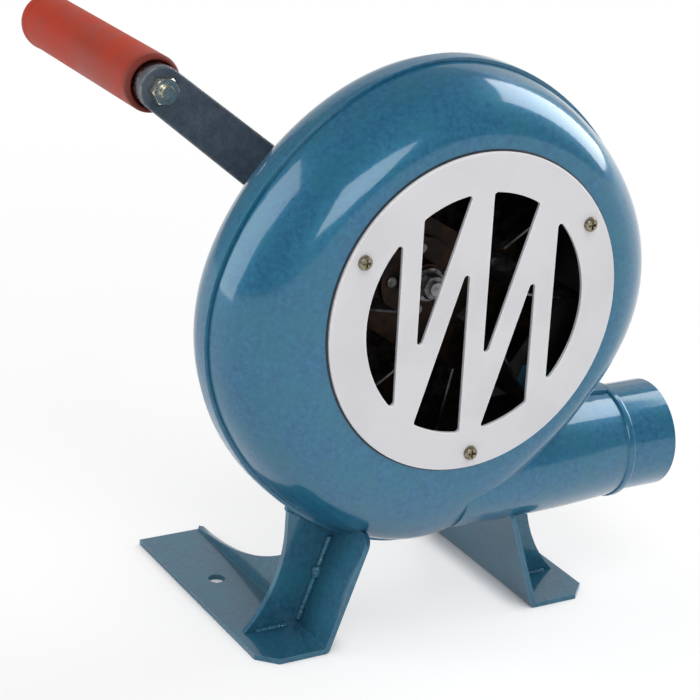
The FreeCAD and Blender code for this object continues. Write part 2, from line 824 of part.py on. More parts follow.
def lay_washers():
    """Spacers that keep the layshaft off the case wall and off the cover's boss."""
    bore = lay_pin_radius + running_gap
    start = case_inner_y + lay_front_gap
    end = drum_back_y - lay_boss_length - lay_back_gap
    return Part.makeCompound([
        pipe(lay_washer_radius, bore, start, start + lay_washer_thickness, lay_x, lay_z),
        pipe(lay_washer_radius, bore, end - lay_washer_thickness, end, lay_x, lay_z)])


def fan_pinion():
    half_tooth = 180.0 / pinion_teeth
    teeth = gear(pinion_teeth, tooth_shift, lay_angle + half_tooth, fan_pinion_y, fan_pinion_width,
                 0.0, shaft_height)
    return teeth.cut(rod(fan_pinion_seat_radius, fan_pinion_y, fan_pinion_y + fan_pinion_width))


# Shafts and bushes


def fan_shaft():
    pinion_end = fan_pinion_y + fan_pinion_width
    journal = rod(fan_shaft_radius, fan_hub_front_y(), fan_pinion_y)
    seat = rod(fan_pinion_seat_radius, fan_pinion_y, pinion_end)
    pilot = rod(fan_pilot_radius, pinion_end, crank_front_y + pilot_bore_depth - pilot_end_gap)
    thread_end = fan_hub_front_y() - fan_washer_thickness - fan_nut_thickness - fan_thread_tail
    thread = rod(fan_thread_radius, thread_end, fan_hub_front_y())
    return fused([journal, seat, pilot, thread])


def fan_bush():
    return pipe(fan_bush_radius, fan_shaft_radius + running_gap, front_boss_y, case_inner_y)


def crank_bush():
    return pipe(crank_bush_radius, crank_shaft_radius + running_gap, drum_back_y, boss_end_y)


def turned_to_arm(shape):
    """Turn a shape drawn along +X to the crank's rest direction."""
    shape.rotate(V(0, 0, shaft_height), V(0, 1, 0), crank_rest_angle - 180.0)
    return shape


def flatted_bar(start, end):
    """Shaft end with two flats that drive the arm."""
    half = crank_flats / 2.0
    reach = 2.0 * crank_shaft_radius
    block = slab(-reach, reach, start, end, shaft_height - half, shaft_height + half)
    return turned_to_arm(rod(crank_shaft_radius, start, end).common(block))


def crank_shaft():
    body = rod(crank_shaft_radius, crank_front_y, arm_y)
    thread_end = arm_back_y + arm_washer_thickness + arm_nut_thickness + crank_tail
    thread = rod(crank_thread_radius, arm_back_y, thread_end)
    shaft = fused([body, flatted_bar(arm_y, arm_back_y), thread])
    pilot = rod(fan_pilot_radius + running_gap, crank_front_y, crank_front_y + pilot_bore_depth)
    return shaft.cut([pilot, gear_pin()])


# Crank arm and grip


def crank_arm():
    """Flat bar with round ends, drilled for the shaft's flats and the handle bolt."""
    spread = arm_hub_radius - arm_end_radius
    lean = math.asin(spread / crank_radius)
    near_x = arm_hub_radius * math.sin(lean)
    near_z = arm_hub_radius * math.cos(lean)
    far_x = crank_radius + arm_end_radius * math.sin(lean)
    far_z = arm_end_radius * math.cos(lean)
    hub_arc = Part.Arc(V(near_x, arm_y, near_z), V(-arm_hub_radius, arm_y, 0), V(near_x, arm_y, -near_z))
    end_arc = Part.Arc(V(far_x, arm_y, -far_z), V(crank_radius + arm_end_radius, arm_y, 0),
                       V(far_x, arm_y, far_z))
    edges = [hub_arc.toShape(), Part.makeLine(V(near_x, arm_y, -near_z), V(far_x, arm_y, -far_z)),
             end_arc.toShape(), Part.makeLine(V(far_x, arm_y, far_z), V(near_x, arm_y, near_z))]
    blank = Part.Face(Part.Wire(edges)).extrude(V(0, arm_thickness, 0))
    blank = blank.makeFillet(arm_edge_round, [edge for edge in blank.Edges
                                              if abs(edge.BoundBox.YLength) < 0.01])
    blank.translate(V(0, 0, shaft_height))
    blank = turned_to_arm(blank)
    bolt_hole = rod(handle_bolt_radius, arm_y, arm_back_y, handle_x, handle_z)
    return blank.cut([flatted_bar(arm_y, arm_back_y), bolt_hole])


def arm_washer():
    return pipe(arm_washer_radius, crank_thread_radius, arm_back_y, arm_back_y + arm_washer_thickness)


def arm_nut():
    start = arm_back_y + arm_washer_thickness
    nut = hexagon(arm_nut_flats, start, start + arm_nut_thickness)
    return nut.cut(rod(crank_thread_radius, start, start + arm_nut_thickness))


def handle_head_y():
    return grip_floor_y + grip_end_gap + handle_washer_thickness


def handle_bolt():
    shank = rod(handle_bolt_radius, arm_y - handle_nut_thickness - handle_bolt_tail,
                handle_head_y(), handle_x, handle_z)
    head = hexagon(handle_head_flats, handle_head_y(), handle_head_y() + handle_head,
                   handle_x, handle_z)
    return fused([shank, head])


def handle_nut():
    start = arm_y - handle_nut_thickness
    nut = hexagon(handle_nut_flats, start, arm_y, handle_x, handle_z)
    return nut.cut(rod(handle_bolt_radius, start, arm_y, handle_x, handle_z))


def handle_collar():
    return pipe(collar_radius, handle_bolt_radius, arm_back_y, arm_back_y + collar_length,
                handle_x, handle_z)


def handle_washer():
    start = grip_floor_y + grip_end_gap
    return pipe(handle_washer_radius, handle_bolt_radius, start, start + handle_washer_thickness,
                handle_x, handle_z)


def handle_grip():
    """Moulded grip: open at the arm, domed at the far end, bored for the bolt."""
    bore = handle_bolt_radius + running_gap
    near_floor = arm_back_y + collar_length + grip_end_gap
    dome_y = grip_end_y - grip_dome
    slant = math.sqrt(0.5)
    mouth = V(grip_mouth_radius, grip_end_y, 0)
    dome_mid = V(grip_mouth_radius + (grip_radius - grip_mouth_radius) * slant,
                 dome_y + grip_dome * slant, 0)
    dome = Part.Arc(V(grip_radius, dome_y, 0), dome_mid, mouth).toShape()
    round_y = grip_y + grip_near_round
    round_x = grip_radius - grip_near_round
    near = Part.Arc(V(round_x, grip_y, 0),
                    V(round_x + grip_near_round * slant, round_y - grip_near_round * slant, 0),
                    V(grip_radius, round_y, 0)).toShape()
    inner = [(grip_mouth_radius, grip_end_y), (grip_far_bore, grip_end_y),
             (grip_far_bore, grip_floor_y), (bore, grip_floor_y), (bore, near_floor),
             (grip_near_bore, near_floor), (grip_near_bore, grip_y), (round_x, grip_y)]
    edges = [dome] + lines(inner) + [near, Part.makeLine(V(grip_radius, round_y, 0),
                                                         V(grip_radius, dome_y, 0))]
    return turned_along_y(edges, handle_x, handle_z)


# Fan


def fan_disc_front_y():
    return fan_back_y - fan_disc_thickness


def fan_hub_front_y():
    return front_boss_y - thrust_washer - fan_hub_length


def fan_hub():
    """Flanged hub keyed on the shaft; the disc is riveted to its flange."""
    back = front_boss_y - thrust_washer
    sleeve = rod(fan_hub_radius, fan_hub_front_y(), back)
    flange = rod(fan_hub_flange_radius, fan_disc_front_y() - fan_hub_flange, fan_disc_front_y())
    cuts = [rod(fan_shaft_radius, fan_hub_front_y(), back)]
    for place in hub_rivet_places():
        cuts.append(rod(rivet_radius, fan_disc_front_y() - fan_hub_flange, fan_disc_front_y(),
                        place.x, place.z))
    return fused([sleeve, flange]).cut(cuts)


def blade_rivet_places():
    """Two rivets through each blade's flange."""
    places = []
    for blade in range(blade_count):
        angle = 360.0 * blade / blade_count
        for radius in (blade_inner_radius + blade_flange, blade_outer_radius - blade_flange):
            local = V(radius, 0, blade_flange / 2.0)
            places.append(blade_to_fan(local, angle))
    return places


def blade_to_fan(local, angle):
    """Place a point drawn on the blade at +X on the blade that stands at an angle."""
    pivot = V(blade_inner_radius, 0, 0)
    skew = FreeCAD.Rotation(V(0, 1, 0), blade_skew)
    spin = FreeCAD.Rotation(V(0, 1, 0), -angle)
    return spin.multVec(pivot + skew.multVec(local - pivot)) + V(0, 0, shaft_height)


def hub_rivet_places():
    return ring_places(hub_rivet_circle, hub_rivet_count, 0.0)


def fan_disc():
    disc = pipe(fan_disc_radius, fan_hub_radius, fan_disc_front_y(), fan_back_y)
    cuts = [rod(rivet_radius, fan_disc_front_y(), fan_back_y, place.x, place.z)
            for place in blade_rivet_places() + hub_rivet_places()]
    return disc.cut(cuts)


def fan_blade(index):
    """Bent sheet blade: riveted flange on the disc and a vane towards the intake."""
    back = fan_disc_front_y()
    front = back - blade_width
    vane = [V(blade_inner_radius, front, 0), V(blade_outer_radius - blade_tip_drop, front, 0),
            V(blade_outer_radius, front + blade_tip_run, 0), V(blade_outer_radius, back, 0),
            V(blade_inner_radius, back, 0), V(blade_inner_radius, front, 0)]
    sheet = Part.Face(Part.makePolygon(vane)).extrude(V(0, 0, blade_sheet))
    flange = slab(blade_inner_radius, blade_outer_radius, back - blade_sheet, back, 0, blade_flange)
    blade = fused([sheet, flange])
    pivot = V(blade_inner_radius, 0, 0)
    blade.rotate(pivot, V(0, 1, 0), blade_skew)
    angle = 360.0 * index / blade_count
    blade.rotate(V(0, 0, 0), V(0, 1, 0), -angle)
    blade.translate(V(0, 0, shaft_height))
    places = blade_rivet_places()[2 * index:2 * index + 2]
    return blade.cut([rod(rivet_radius, back - blade_sheet, back, place.x, place.z)
                      for place in places])


def rivet(place, grip_front):
    """Rivet through the disc with a low head on both faces."""
    shank = rod(rivet_radius, grip_front, fan_back_y, place.x, place.z)
    heads = []
    for y, facing in ((grip_front, -1.0), (fan_back_y, 1.0)):
        end = y + facing * rivet_head
        head = rod(rivet_head_radius, min(y, end), max(y, end), place.x, place.z)
        top = [edge for edge in head.Edges if edge.Closed and abs(edge.CenterOfMass.y - end) < 0.01]
        heads.append(head.makeFillet(rivet_head * head_round, top))
    return fused([shank] + heads)


def fan_rivets():
    through_blade = fan_disc_front_y() - blade_sheet
    through_hub = fan_disc_front_y() - fan_hub_flange
    group = [rivet(place, through_blade) for place in blade_rivet_places()]
    group += [rivet(place, through_hub) for place in hub_rivet_places()]
    return Part.makeCompound(group)


def fan_thrust_washer():
    end = front_boss_y - running_gap
    start = front_boss_y - thrust_washer + running_gap
    return pipe(thrust_washer_radius, fan_shaft_radius + running_gap, start, end)


def fan_washer():
    end = fan_hub_front_y()
    return pipe(fan_washer_radius, fan_thread_radius, end - fan_washer_thickness, end)


def fan_nut():
    end = fan_hub_front_y() - fan_washer_thickness
    start = end - fan_nut_thickness
    return hexagon(fan_nut_flats, start, end).cut(rod(fan_thread_radius, start, end))


# Assembly


def save(name, shape):
    solids = shape.Solids
    whole = solids[0] if len(solids) == 1 else Part.makeCompound(solids)
    whole.exportStep(os.path.join("parts", name + ".step"))


os.makedirs("parts", exist_ok=True)

outside = casing_outside()
inside = casing_inside()
wall = outside.cut(inside)
front = front_shell(wall)
rear = rear_shell(wall, outside, inside)
save("front_shell", front)
save("rear_shell", rear)
save("intake_plate", intake_plate())
save("plate_screws", plate_screws())

casing_body = outside.fuse(casing_lip())
notch = slab(0, far, seam_y, foot_back_y, neck_notch_z, far)
blanks = {"left": (mirrored(foot_blank()), mirrored(gusset_blank())),
          "right": (foot_blank().cut(notch), gusset_blank())}
for side, (foot, gusset) in blanks.items():
    save(side + "_foot", largest(foot.cut(casing_body)))
    save(side + "_gusset", largest(gusset.cut([casing_body, foot])))

save("gear_housing", gear_housing())
save("gear_cover", gear_cover())
save("cover_screws", cover_screws())
save("case_screws", case_screws())
save("case_nuts", case_nuts())
save("fan_bush", fan_bush())
save("crank_bush", crank_bush())
save("lay_pin", lay_pin())
save("lay_washers", lay_washers())

save("crank_shaft", crank_shaft())
save("crank_gear", crank_gear())
save("gear_pin", gear_pin())
save("crank_arm", crank_arm())
save("arm_washer", arm_washer())
save("arm_nut", arm_nut())
save("handle_bolt", handle_bolt())
save("handle_nut", handle_nut())
save("handle_collar", handle_collar())
save("handle_washer", handle_washer())
save("handle_grip", handle_grip())

save("lay_gear", lay_gear())
save("lay_pinion", lay_pinion())

save("fan_shaft", fan_shaft())
save("fan_pinion", fan_pinion())
save("fan_hub", fan_hub())
save("fan_disc", fan_disc())
for number in range(blade_count):
    save("fan_blade_" + str(number + 1), fan_blade(number))
save("fan_rivets", fan_rivets())
save("fan_thrust_washer", fan_thrust_washer())
save("fan_washer", fan_washer())
save("fan_nut", fan_nut())
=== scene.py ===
import json
import math
import random

import bpy
from mathutils import Matrix, Vector


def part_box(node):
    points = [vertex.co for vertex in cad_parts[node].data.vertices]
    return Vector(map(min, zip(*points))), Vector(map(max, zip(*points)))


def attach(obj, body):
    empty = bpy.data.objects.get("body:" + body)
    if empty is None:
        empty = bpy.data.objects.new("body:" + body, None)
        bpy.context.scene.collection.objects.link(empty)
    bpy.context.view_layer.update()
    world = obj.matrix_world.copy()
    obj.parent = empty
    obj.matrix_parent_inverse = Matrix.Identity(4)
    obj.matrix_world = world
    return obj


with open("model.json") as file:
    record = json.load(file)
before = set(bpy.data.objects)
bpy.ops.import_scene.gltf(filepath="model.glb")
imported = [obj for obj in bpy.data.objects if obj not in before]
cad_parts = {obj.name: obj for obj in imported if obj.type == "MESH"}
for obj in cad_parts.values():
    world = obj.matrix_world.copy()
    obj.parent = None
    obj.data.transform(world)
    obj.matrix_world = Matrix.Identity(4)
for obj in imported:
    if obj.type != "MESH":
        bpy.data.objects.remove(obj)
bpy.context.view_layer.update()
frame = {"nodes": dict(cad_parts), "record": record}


# Casing shells
# Two halves pressed from 1.5 mm sheet, rolled together at the seam with the outlet neck.
# They are sprayed with a metallic blue enamel that dries glossy, with a fine flake in it.

enamel_deep = (0.009, 0.086, 0.182, 1.0)
enamel_light = (0.025, 0.168, 0.295, 1.0)
enamel_teal = (0.016, 0.142, 0.215, 1.0)
# Painted highlight colour for the enamel's sharp edges:
enamel_edge_highlight = (0.140, 0.330, 0.430, 1.0)
# Painted shade for the casing's inner walls, near black and brown:
inner_shade_dark = (0.010, 0.013, 0.018, 1.0)
inner_shade_brown = (0.034, 0.028, 0.024, 1.0)
enamel_metal = 0.36
enamel_specular = 0.15
enamel_smoothest = 0.34
enamel_roughest = 0.46
enamel_edge_radius = 0.0006
edge_highlight_share = 0.55
teal_share = 0.7
gloss_roughness = 0.09
flakes_per_metre = 2000.0
mottle_per_metre = 420.0
cloud_per_metre = 62.0
orange_peel_per_metre = 130.0
orange_peel_depth = 0.00005

# Where the neck and the dished back lie, to tell inner walls from outer ones.
neck_start = 0.015
neck_top = 0.100
neck_half_depth = 0.032
neck_half_height = 0.0268
step_end = 0.020
step_slope = -0.5
back_depth = -0.012
rear_margin = 0.010
dish_slope = 0.2


def add_node(tree, kind, inputs=None, **settings):
    """Shader node whose inputs are set to values or joined to other nodes' outputs."""
    node = tree.nodes.new(kind)
    for name, value in settings.items():
        setattr(node, name, value)
    for name, value in (inputs or {}).items():
        socket = node.inputs[name]
        if isinstance(value, bpy.types.NodeSocket):
            tree.links.new(value, socket)
        else:
            socket.default_value = value
    return node


def new_group(name, takes, gives):
    """Empty node group with named sockets; returns the tree, its input node and output node."""
    tree = bpy.data.node_groups.new(name, "ShaderNodeTree")
    for socket, kind, value in takes:
        item = tree.interface.new_socket(socket, in_out="INPUT", socket_type=kind)
        if value is not None:
            item.default_value = value
    for socket, kind in gives:
        tree.interface.new_socket(socket, in_out="OUTPUT", socket_type=kind)
    return tree, tree.nodes.new("NodeGroupInput"), tree.nodes.new("NodeGroupOutput")


def make_flake_group():
    """Random tone from flake to flake over a soft mottle, as in metallic paint."""
    tree, takes, gives = new_group(
        "paint_flake",
        [("Vector", "NodeSocketVector", None), ("Flakes", "NodeSocketFloat", 1500.0),
         ("Mottle", "NodeSocketFloat", 300.0)],
        [("Tone", "NodeSocketFloat"), ("Height", "NodeSocketFloat")])
    flakes = add_node(tree, "ShaderNodeTexVoronoi",
                      {"Vector": takes.outputs["Vector"], "Scale": takes.outputs["Flakes"]})
    chance = add_node(tree, "ShaderNodeSeparateColor", {"Color": flakes.outputs["Color"]})
    mottle = add_node(tree, "ShaderNodeTexNoise",
                      {"Vector": takes.outputs["Vector"], "Scale": takes.outputs["Mottle"],
                       "Detail": 4.0, "Roughness": 0.6})
    soft = add_node(tree, "ShaderNodeMapRange",
                    {"Value": mottle.outputs["Fac"], "From Min": 0.32, "From Max": 0.68})
    tone = add_node(tree, "ShaderNodeMix",
                    {"Factor": 0.65, "A": chance.outputs["Red"], "B": soft.outputs["Result"]})
    tree.links.new(tone.outputs["Result"], gives.inputs["Tone"])
    tree.links.new(chance.outputs["Green"], gives.inputs["Height"])
    return tree


def make_edge_group():
    """Rounded-off normals along sharp edges, and a mask of where those edges are."""
    tree, takes, gives = new_group(
        "soft_edges",
        [("Radius", "NodeSocketFloat", 0.0005), ("Height", "NodeSocketFloat", 0.0),
         ("Depth", "NodeSocketFloat", 0.00002)],
        [("Normal", "NodeSocketVector"), ("Edge", "NodeSocketFloat")])
    rounded = add_node(tree, "ShaderNodeBevel", {"Radius": takes.outputs["Radius"]}, samples=4)
    bump = add_node(tree, "ShaderNodeBump",
                    {"Distance": takes.outputs["Depth"], "Height": takes.outputs["Height"],
                     "Normal": rounded.outputs["Normal"]})
    flat = add_node(tree, "ShaderNodeNewGeometry")
    alike = add_node(tree, "ShaderNodeVectorMath", operation="DOT_PRODUCT")
    tree.links.new(rounded.outputs["Normal"], alike.inputs[0])
    tree.links.new(flat.outputs["Normal"], alike.inputs[1])
    edge = add_node(tree, "ShaderNodeMapRange",
                    {"Value": alike.outputs["Value"], "From Min": 0.995, "From Max": 0.82})
    tree.links.new(bump.outputs["Normal"], gives.inputs["Normal"])
    tree.links.new(edge.outputs["Result"], gives.inputs["Edge"])
    return tree


def new_material(name):
    """Material with a Principled BSDF; returns the material, its tree, shader and coordinates."""
    material = bpy.data.materials.new(name)
    material.use_nodes = True
    tree = material.node_tree
    shader = tree.nodes["Principled BSDF"]
    coordinates = add_node(tree, "ShaderNodeTexCoord").outputs["Object"]
    return material, tree, shader, coordinates


def mix_colours(tree, factor, first, second):
    """Colour between two others, by a factor or a mask."""
    node = add_node(tree, "ShaderNodeMix", data_type="RGBA")
    for socket, value in ((node.inputs["Factor"], factor), (node.inputs[6], first),
                          (node.inputs[7], second)):
        if isinstance(value, bpy.types.NodeSocket):
            tree.links.new(value, socket)
        else:
            socket.default_value = value
    return node.outputs[2]


def set_group(tree, group, inputs):
    """Puts a node group into a material with its own values."""
    node = tree.nodes.new("ShaderNodeGroup")
    node.node_tree = group
    for name, value in inputs.items():
        if isinstance(value, bpy.types.NodeSocket):
            tree.links.new(value, node.inputs[name])
        else:
            node.inputs[name].default_value = value
    return node


def make_inside_group():
    """Mask of the casing's inner walls: surfaces that look towards the scroll or down the neck."""
    tree, takes, gives = new_group(
        "inner_walls",
        [("Vector", "NodeSocketVector", None), ("Normal", "NodeSocketVector", None)],
        [("Inside", "NodeSocketFloat")])
    place = add_node(tree, "ShaderNodeSeparateXYZ", {"Vector": takes.outputs["Vector"]})
    facing = add_node(tree, "ShaderNodeSeparateXYZ", {"Vector": takes.outputs["Normal"]})

    def compare(value, limit, operation):
        return add_node(tree, "ShaderNodeMath", {0: value, 1: limit},
                        operation=operation).outputs["Value"]

    def looks_back(middle, depth):
        outwards = add_node(tree, "ShaderNodeVectorMath",
                            {0: takes.outputs["Vector"], 1: middle}, operation="SUBTRACT")
        turned = add_node(tree, "ShaderNodeVectorMath",
                          {0: outwards.outputs["Vector"], 1: takes.outputs["Normal"]},
                          operation="DOT_PRODUCT")
        return compare(turned.outputs["Value"], depth, "LESS_THAN")

    low = compare(place.outputs["Z"], neck_top, "LESS_THAN")
    neck = compare(compare(place.outputs["X"], neck_start, "GREATER_THAN"), low, "MULTIPLY")
    axis = add_node(tree, "ShaderNodeCombineXYZ",
                    {"X": place.outputs["X"], "Y": outlet_middle[1], "Z": outlet_middle[2]})
    off_axis = add_node(tree, "ShaderNodeVectorMath",
                        {0: takes.outputs["Vector"], 1: axis.outputs["Vector"]},
                        operation="SUBTRACT")
    scaled = add_node(tree, "ShaderNodeVectorMath",
                      {0: off_axis.outputs["Vector"], 1: (1.0, neck_half_depth, neck_half_height)},
                      operation="DIVIDE")
    reach = add_node(tree, "ShaderNodeVectorMath", {0: scaled.outputs["Vector"]},
                     operation="LENGTH")
    tube = compare(compare(reach.outputs["Value"], 1.0, "LESS_THAN"), neck, "MULTIPLY")
    scroll_middle = (shaft_middle.x, outlet_middle[1], shaft_middle.z)
    in_scroll = compare(looks_back(scroll_middle, back_depth), tube, "MAXIMUM")
    beside = add_node(tree, "ShaderNodeMath", {0: 1.0, 1: neck}, operation="SUBTRACT")
    in_neck = compare(looks_back(axis.outputs["Vector"], 0.0), beside.outputs["Value"], "MAXIMUM")
    dish = compare(compare(facing.outputs["Y"], dish_slope, "GREATER_THAN"),
                   compare(place.outputs["Y"], outlet_middle[1] + rear_margin, "GREATER_THAN"),
                   "MULTIPLY")
    before_neck = compare(compare(place.outputs["X"], step_end, "LESS_THAN"), low, "MULTIPLY")
    step = compare(compare(facing.outputs["X"], step_slope, "LESS_THAN"), before_neck, "MULTIPLY")
    walls = compare(compare(in_scroll, in_neck, "MULTIPLY"), step, "SUBTRACT")
    inside = compare(walls, dish, "SUBTRACT")
    bounded = add_node(tree, "ShaderNodeMath", {0: inside, 1: 0.0}, operation="MAXIMUM")
    tree.links.new(bounded.outputs["Value"], gives.inputs["Inside"])
    return tree


def make_enamel(name, deep, light, shade_inside=False):
    """Metallic enamel under a clear gloss, clouded with teal, with a painted highlight in lighter
    blue along sharp edges, and painted shade on the inner walls when asked.
    """
    material, tree, shader, coordinates = new_material(name)
    cloud = add_node(tree, "ShaderNodeTexNoise",
                     {"Vector": coordinates, "Scale": cloud_per_metre, "Detail": 3.0,
                      "Roughness": 0.65})
    clouded = add_node(tree, "ShaderNodeMapRange",
                       {"Value": cloud.outputs["Fac"], "From Min": 0.42, "From Max": 0.66,
                        "To Max": teal_share})
    flake = set_group(tree, flake_group, {"Vector": coordinates, "Flakes": flakes_per_metre,
                                          "Mottle": mottle_per_metre})
    peel = add_node(tree, "ShaderNodeTexNoise",
                    {"Vector": coordinates, "Scale": orange_peel_per_metre, "Detail": 2.0})
    edges = set_group(tree, edge_group,
                      {"Radius": enamel_edge_radius, "Height": peel.outputs["Fac"],
                       "Depth": orange_peel_depth})
    flaked = mix_colours(tree, flake.outputs["Tone"], deep, light)
    sheet = mix_colours(tree, clouded.outputs["Result"], flaked, enamel_teal)
    # Painted highlight: sharp edges are mixed towards a lighter blue.
    edge_highlight = add_node(tree, "ShaderNodeMath", {0: edges.outputs["Edge"], 1: edge_highlight_share},
                    operation="MULTIPLY")
    colour = mix_colours(tree, edge_highlight.outputs["Value"], sheet, enamel_edge_highlight)
    rough = add_node(tree, "ShaderNodeMapRange",
                     {"Value": flake.outputs["Tone"], "To Min": enamel_smoothest,
                      "To Max": enamel_roughest})
    shader.inputs["Metallic"].default_value = enamel_metal
    shader.inputs["Coat Weight"].default_value = 1.0
    # Painted shade: the inner walls of the scroll and neck are painted near black and brown, with no
    # gloss coat, as the shade inside the casing.
    if shade_inside:
        normal = add_node(tree, "ShaderNodeTexCoord").outputs["Normal"]
        inner = set_group(tree, inside_group, {"Vector": coordinates, "Normal": normal})
        inner_shade = mix_colours(tree, cloud.outputs["Fac"], inner_shade_dark, inner_shade_brown)
        colour = mix_colours(tree, inner.outputs["Inside"], colour, inner_shade)
        gloss = add_node(tree, "ShaderNodeMath", {0: 1.0, 1: inner.outputs["Inside"]},
                         operation="SUBTRACT")
        tree.links.new(gloss.outputs["Value"], shader.inputs["Coat Weight"])
    tree.links.new(colour, shader.inputs["Base Color"])
    tree.links.new(rough.outputs["Result"], shader.inputs["Roughness"])
    tree.links.new(edges.outputs["Normal"], shader.inputs["Normal"])
    shader.inputs["Specular IOR Level"].default_value = enamel_specular
    shader.inputs["Coat Roughness"].default_value = gloss_roughness
    return material


def dress(names, material):
    """Gives CAD nodes their finish."""
    for name in names:
        slots = frame["nodes"][name].data.materials
        slots.clear()
        slots.append(material)


shaft_low, shaft_high = (Vector(corner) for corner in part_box("fan_shaft"))
shaft_middle = (shaft_low + shaft_high) / 2.0
outlet_middle = next(mount["pos_m"] for mount in frame["record"]["mounts"]
                     if mount["name"] == "outlet_outside")
flake_group = make_flake_group()
edge_group = make_edge_group()
inside_group = make_inside_group()
casing_enamel = make_enamel("casing_enamel", enamel_deep, enamel_light)
shell_enamel = make_enamel("shell_enamel", enamel_deep, enamel_light, shade_inside=True)
dress(["front_shell", "rear_shell"], shell_enamel)


# Intake plate and its screws
# A 1.6 mm steel disc, painted pale satin grey, with the guard's windows punched through. Three
# yellow-plated pan head screws hold it on; a thin black ring round its rim is painted shade at the
# gap.

plate_grey = (0.600, 0.598, 0.620, 1.0)
plate_dust = (0.545, 0.542, 0.560, 1.0)
# Near-white painted highlight for the punched edges:
plate_edge_highlight = (0.900, 0.900, 0.920, 1.0)
screw_yellow = (0.320, 0.285, 0.200, 1.0)
screw_shade = (0.060, 0.050, 0.034, 1.0)
# Black for the rubber seal, and for the painted shade ring round the intake plate:
rubber_and_shade_black = (0.012, 0.016, 0.024, 1.0)
rubber_and_shade_dusty = (0.040, 0.048, 0.060, 1.0)
plate_grain_per_metre = 420.0
plate_grain_depth = 0.00002
smudges_per_metre = 26.0
plate_edge_radius = 0.0008
plate_highlight_gain = 2.0
plate_smoothest = 0.36
plate_roughest = 0.52
plated_edge_radius = 0.0003
stain_depth = 0.00002
stain_roughening = 0.2
dimples_per_metre = 900.0
dimple_depth = 0.00006
rubber_and_shade_roughness = 0.55
shade_ring_thickness = 0.0005
shade_ring_overhang = 0.6
shade_ring_rise = 1.2


def make_plate_paint():
    """Satin paint with a faint rolled grain and a painted highlight in near white along the punched
    edges.
    """
    material, tree, shader, coordinates = new_material("plate_paint")
    grain = add_node(tree, "ShaderNodeTexNoise",
                     {"Vector": coordinates, "Scale": plate_grain_per_metre, "Detail": 5.0,
                      "Roughness": 0.6})
    smudge = add_node(tree, "ShaderNodeTexNoise",
                      {"Vector": coordinates, "Scale": smudges_per_metre, "Detail": 3.0})
    dust = add_node(tree, "ShaderNodeMapRange",
                    {"Value": smudge.outputs["Fac"], "From Min": 0.45, "From Max": 0.75})
    edges = set_group(tree, edge_group,
                      {"Radius": plate_edge_radius, "Height": grain.outputs["Fac"],
                       "Depth": plate_grain_depth})
    face = mix_colours(tree, dust.outputs["Result"], plate_grey, plate_dust)
    # Painted highlight: the punched edges are mixed towards near white.
    bright = add_node(tree, "ShaderNodeMath", {0: edges.outputs["Edge"], 1: plate_highlight_gain},
                      operation="MULTIPLY", use_clamp=True)
    colour = mix_colours(tree, bright.outputs["Value"], face, plate_edge_highlight)
    rough = add_node(tree, "ShaderNodeMapRange",
                     {"Value": grain.outputs["Fac"], "To Min": plate_smoothest,
                      "To Max": plate_roughest})
    tree.links.new(colour, shader.inputs["Base Color"])
    tree.links.new(rough.outputs["Result"], shader.inputs["Roughness"])
    tree.links.new(edges.outputs["Normal"], shader.inputs["Normal"])
    return material


def make_plated(name, bright, dull, roughness, per_metre):
    """Plated steel with slight stains and turning marks."""
    material, tree, shader, coordinates = new_material(name)
    stain = add_node(tree, "ShaderNodeTexNoise",
                     {"Vector": coordinates, "Scale": per_metre, "Detail": 5.0, "Roughness": 0.65})
    spread = add_node(tree, "ShaderNodeMapRange",
                      {"Value": stain.outputs["Fac"], "From Min": 0.42, "From Max": 0.72})
    edges = set_group(tree, edge_group,
                      {"Radius": plated_edge_radius, "Height": stain.outputs["Fac"],
                       "Depth": stain_depth})
    colour = mix_colours(tree, spread.outputs["Result"], bright, dull)
    rough = add_node(tree, "ShaderNodeMapRange",
                     {"Value": spread.outputs["Result"], "To Min": roughness,
                      "To Max": roughness + stain_roughening})
    tree.links.new(colour, shader.inputs["Base Color"])
    tree.links.new(rough.outputs["Result"], shader.inputs["Roughness"])
    tree.links.new(edges.outputs["Normal"], shader.inputs["Normal"])
    shader.inputs["Metallic"].default_value = 1.0
    return material


def make_rubber():
    """Black rubber, dull, with dust in its dimples; the same black makes the painted shade ring round
    the intake plate.
    """
    material, tree, shader, coordinates = new_material("black_sealant")
    dimples = add_node(tree, "ShaderNodeTexNoise",
                       {"Vector": coordinates, "Scale": dimples_per_metre, "Detail": 3.0,
                        "Roughness": 0.6})
    dusty = add_node(tree, "ShaderNodeMapRange",
                     {"Value": dimples.outputs["Fac"], "From Min": 0.5, "From Max": 0.75})
    relief = add_node(tree, "ShaderNodeBump",
                      {"Distance": dimple_depth, "Height": dimples.outputs["Fac"]})
    colour = mix_colours(tree, dusty.outputs["Result"], rubber_and_shade_black, rubber_and_shade_dusty)
    tree.links.new(colour, shader.inputs["Base Color"])
    tree.links.new(relief.outputs["Normal"], shader.inputs["Normal"])
    shader.inputs["Roughness"].default_value = rubber_and_shade_roughness
    return material


def make_ring(name, centre, radius, thickness, flat, material):
    """Ring round the shaft's direction, pressed flat by the given share."""
    bpy.ops.object.select_all(action="DESELECT")
    bpy.ops.mesh.primitive_torus_add(major_segments=144, minor_segments=10,
                                     major_radius=radius, minor_radius=thickness,
                                     location=centre, rotation=(math.radians(90.0), 0.0, 0.0))
    ring = bpy.context.object
    ring.name = name
    bpy.ops.object.transform_apply(location=True, rotation=True, scale=True)
    bpy.ops.object.mode_set(mode="EDIT")
    bpy.ops.mesh.select_all(action="SELECT")
    bpy.ops.transform.resize(value=(1.0, flat, 1.0), center_override=centre)
    bpy.ops.object.mode_set(mode="OBJECT")
    bpy.ops.object.shade_smooth()
    ring.data.materials.append(material)
    return ring


dress(["intake_plate"], make_plate_paint())
dress(["plate_screws"], make_plated("yellow_zinc", screw_yellow, screw_shade, 0.26, 900.0))
black_sealant = make_rubber()

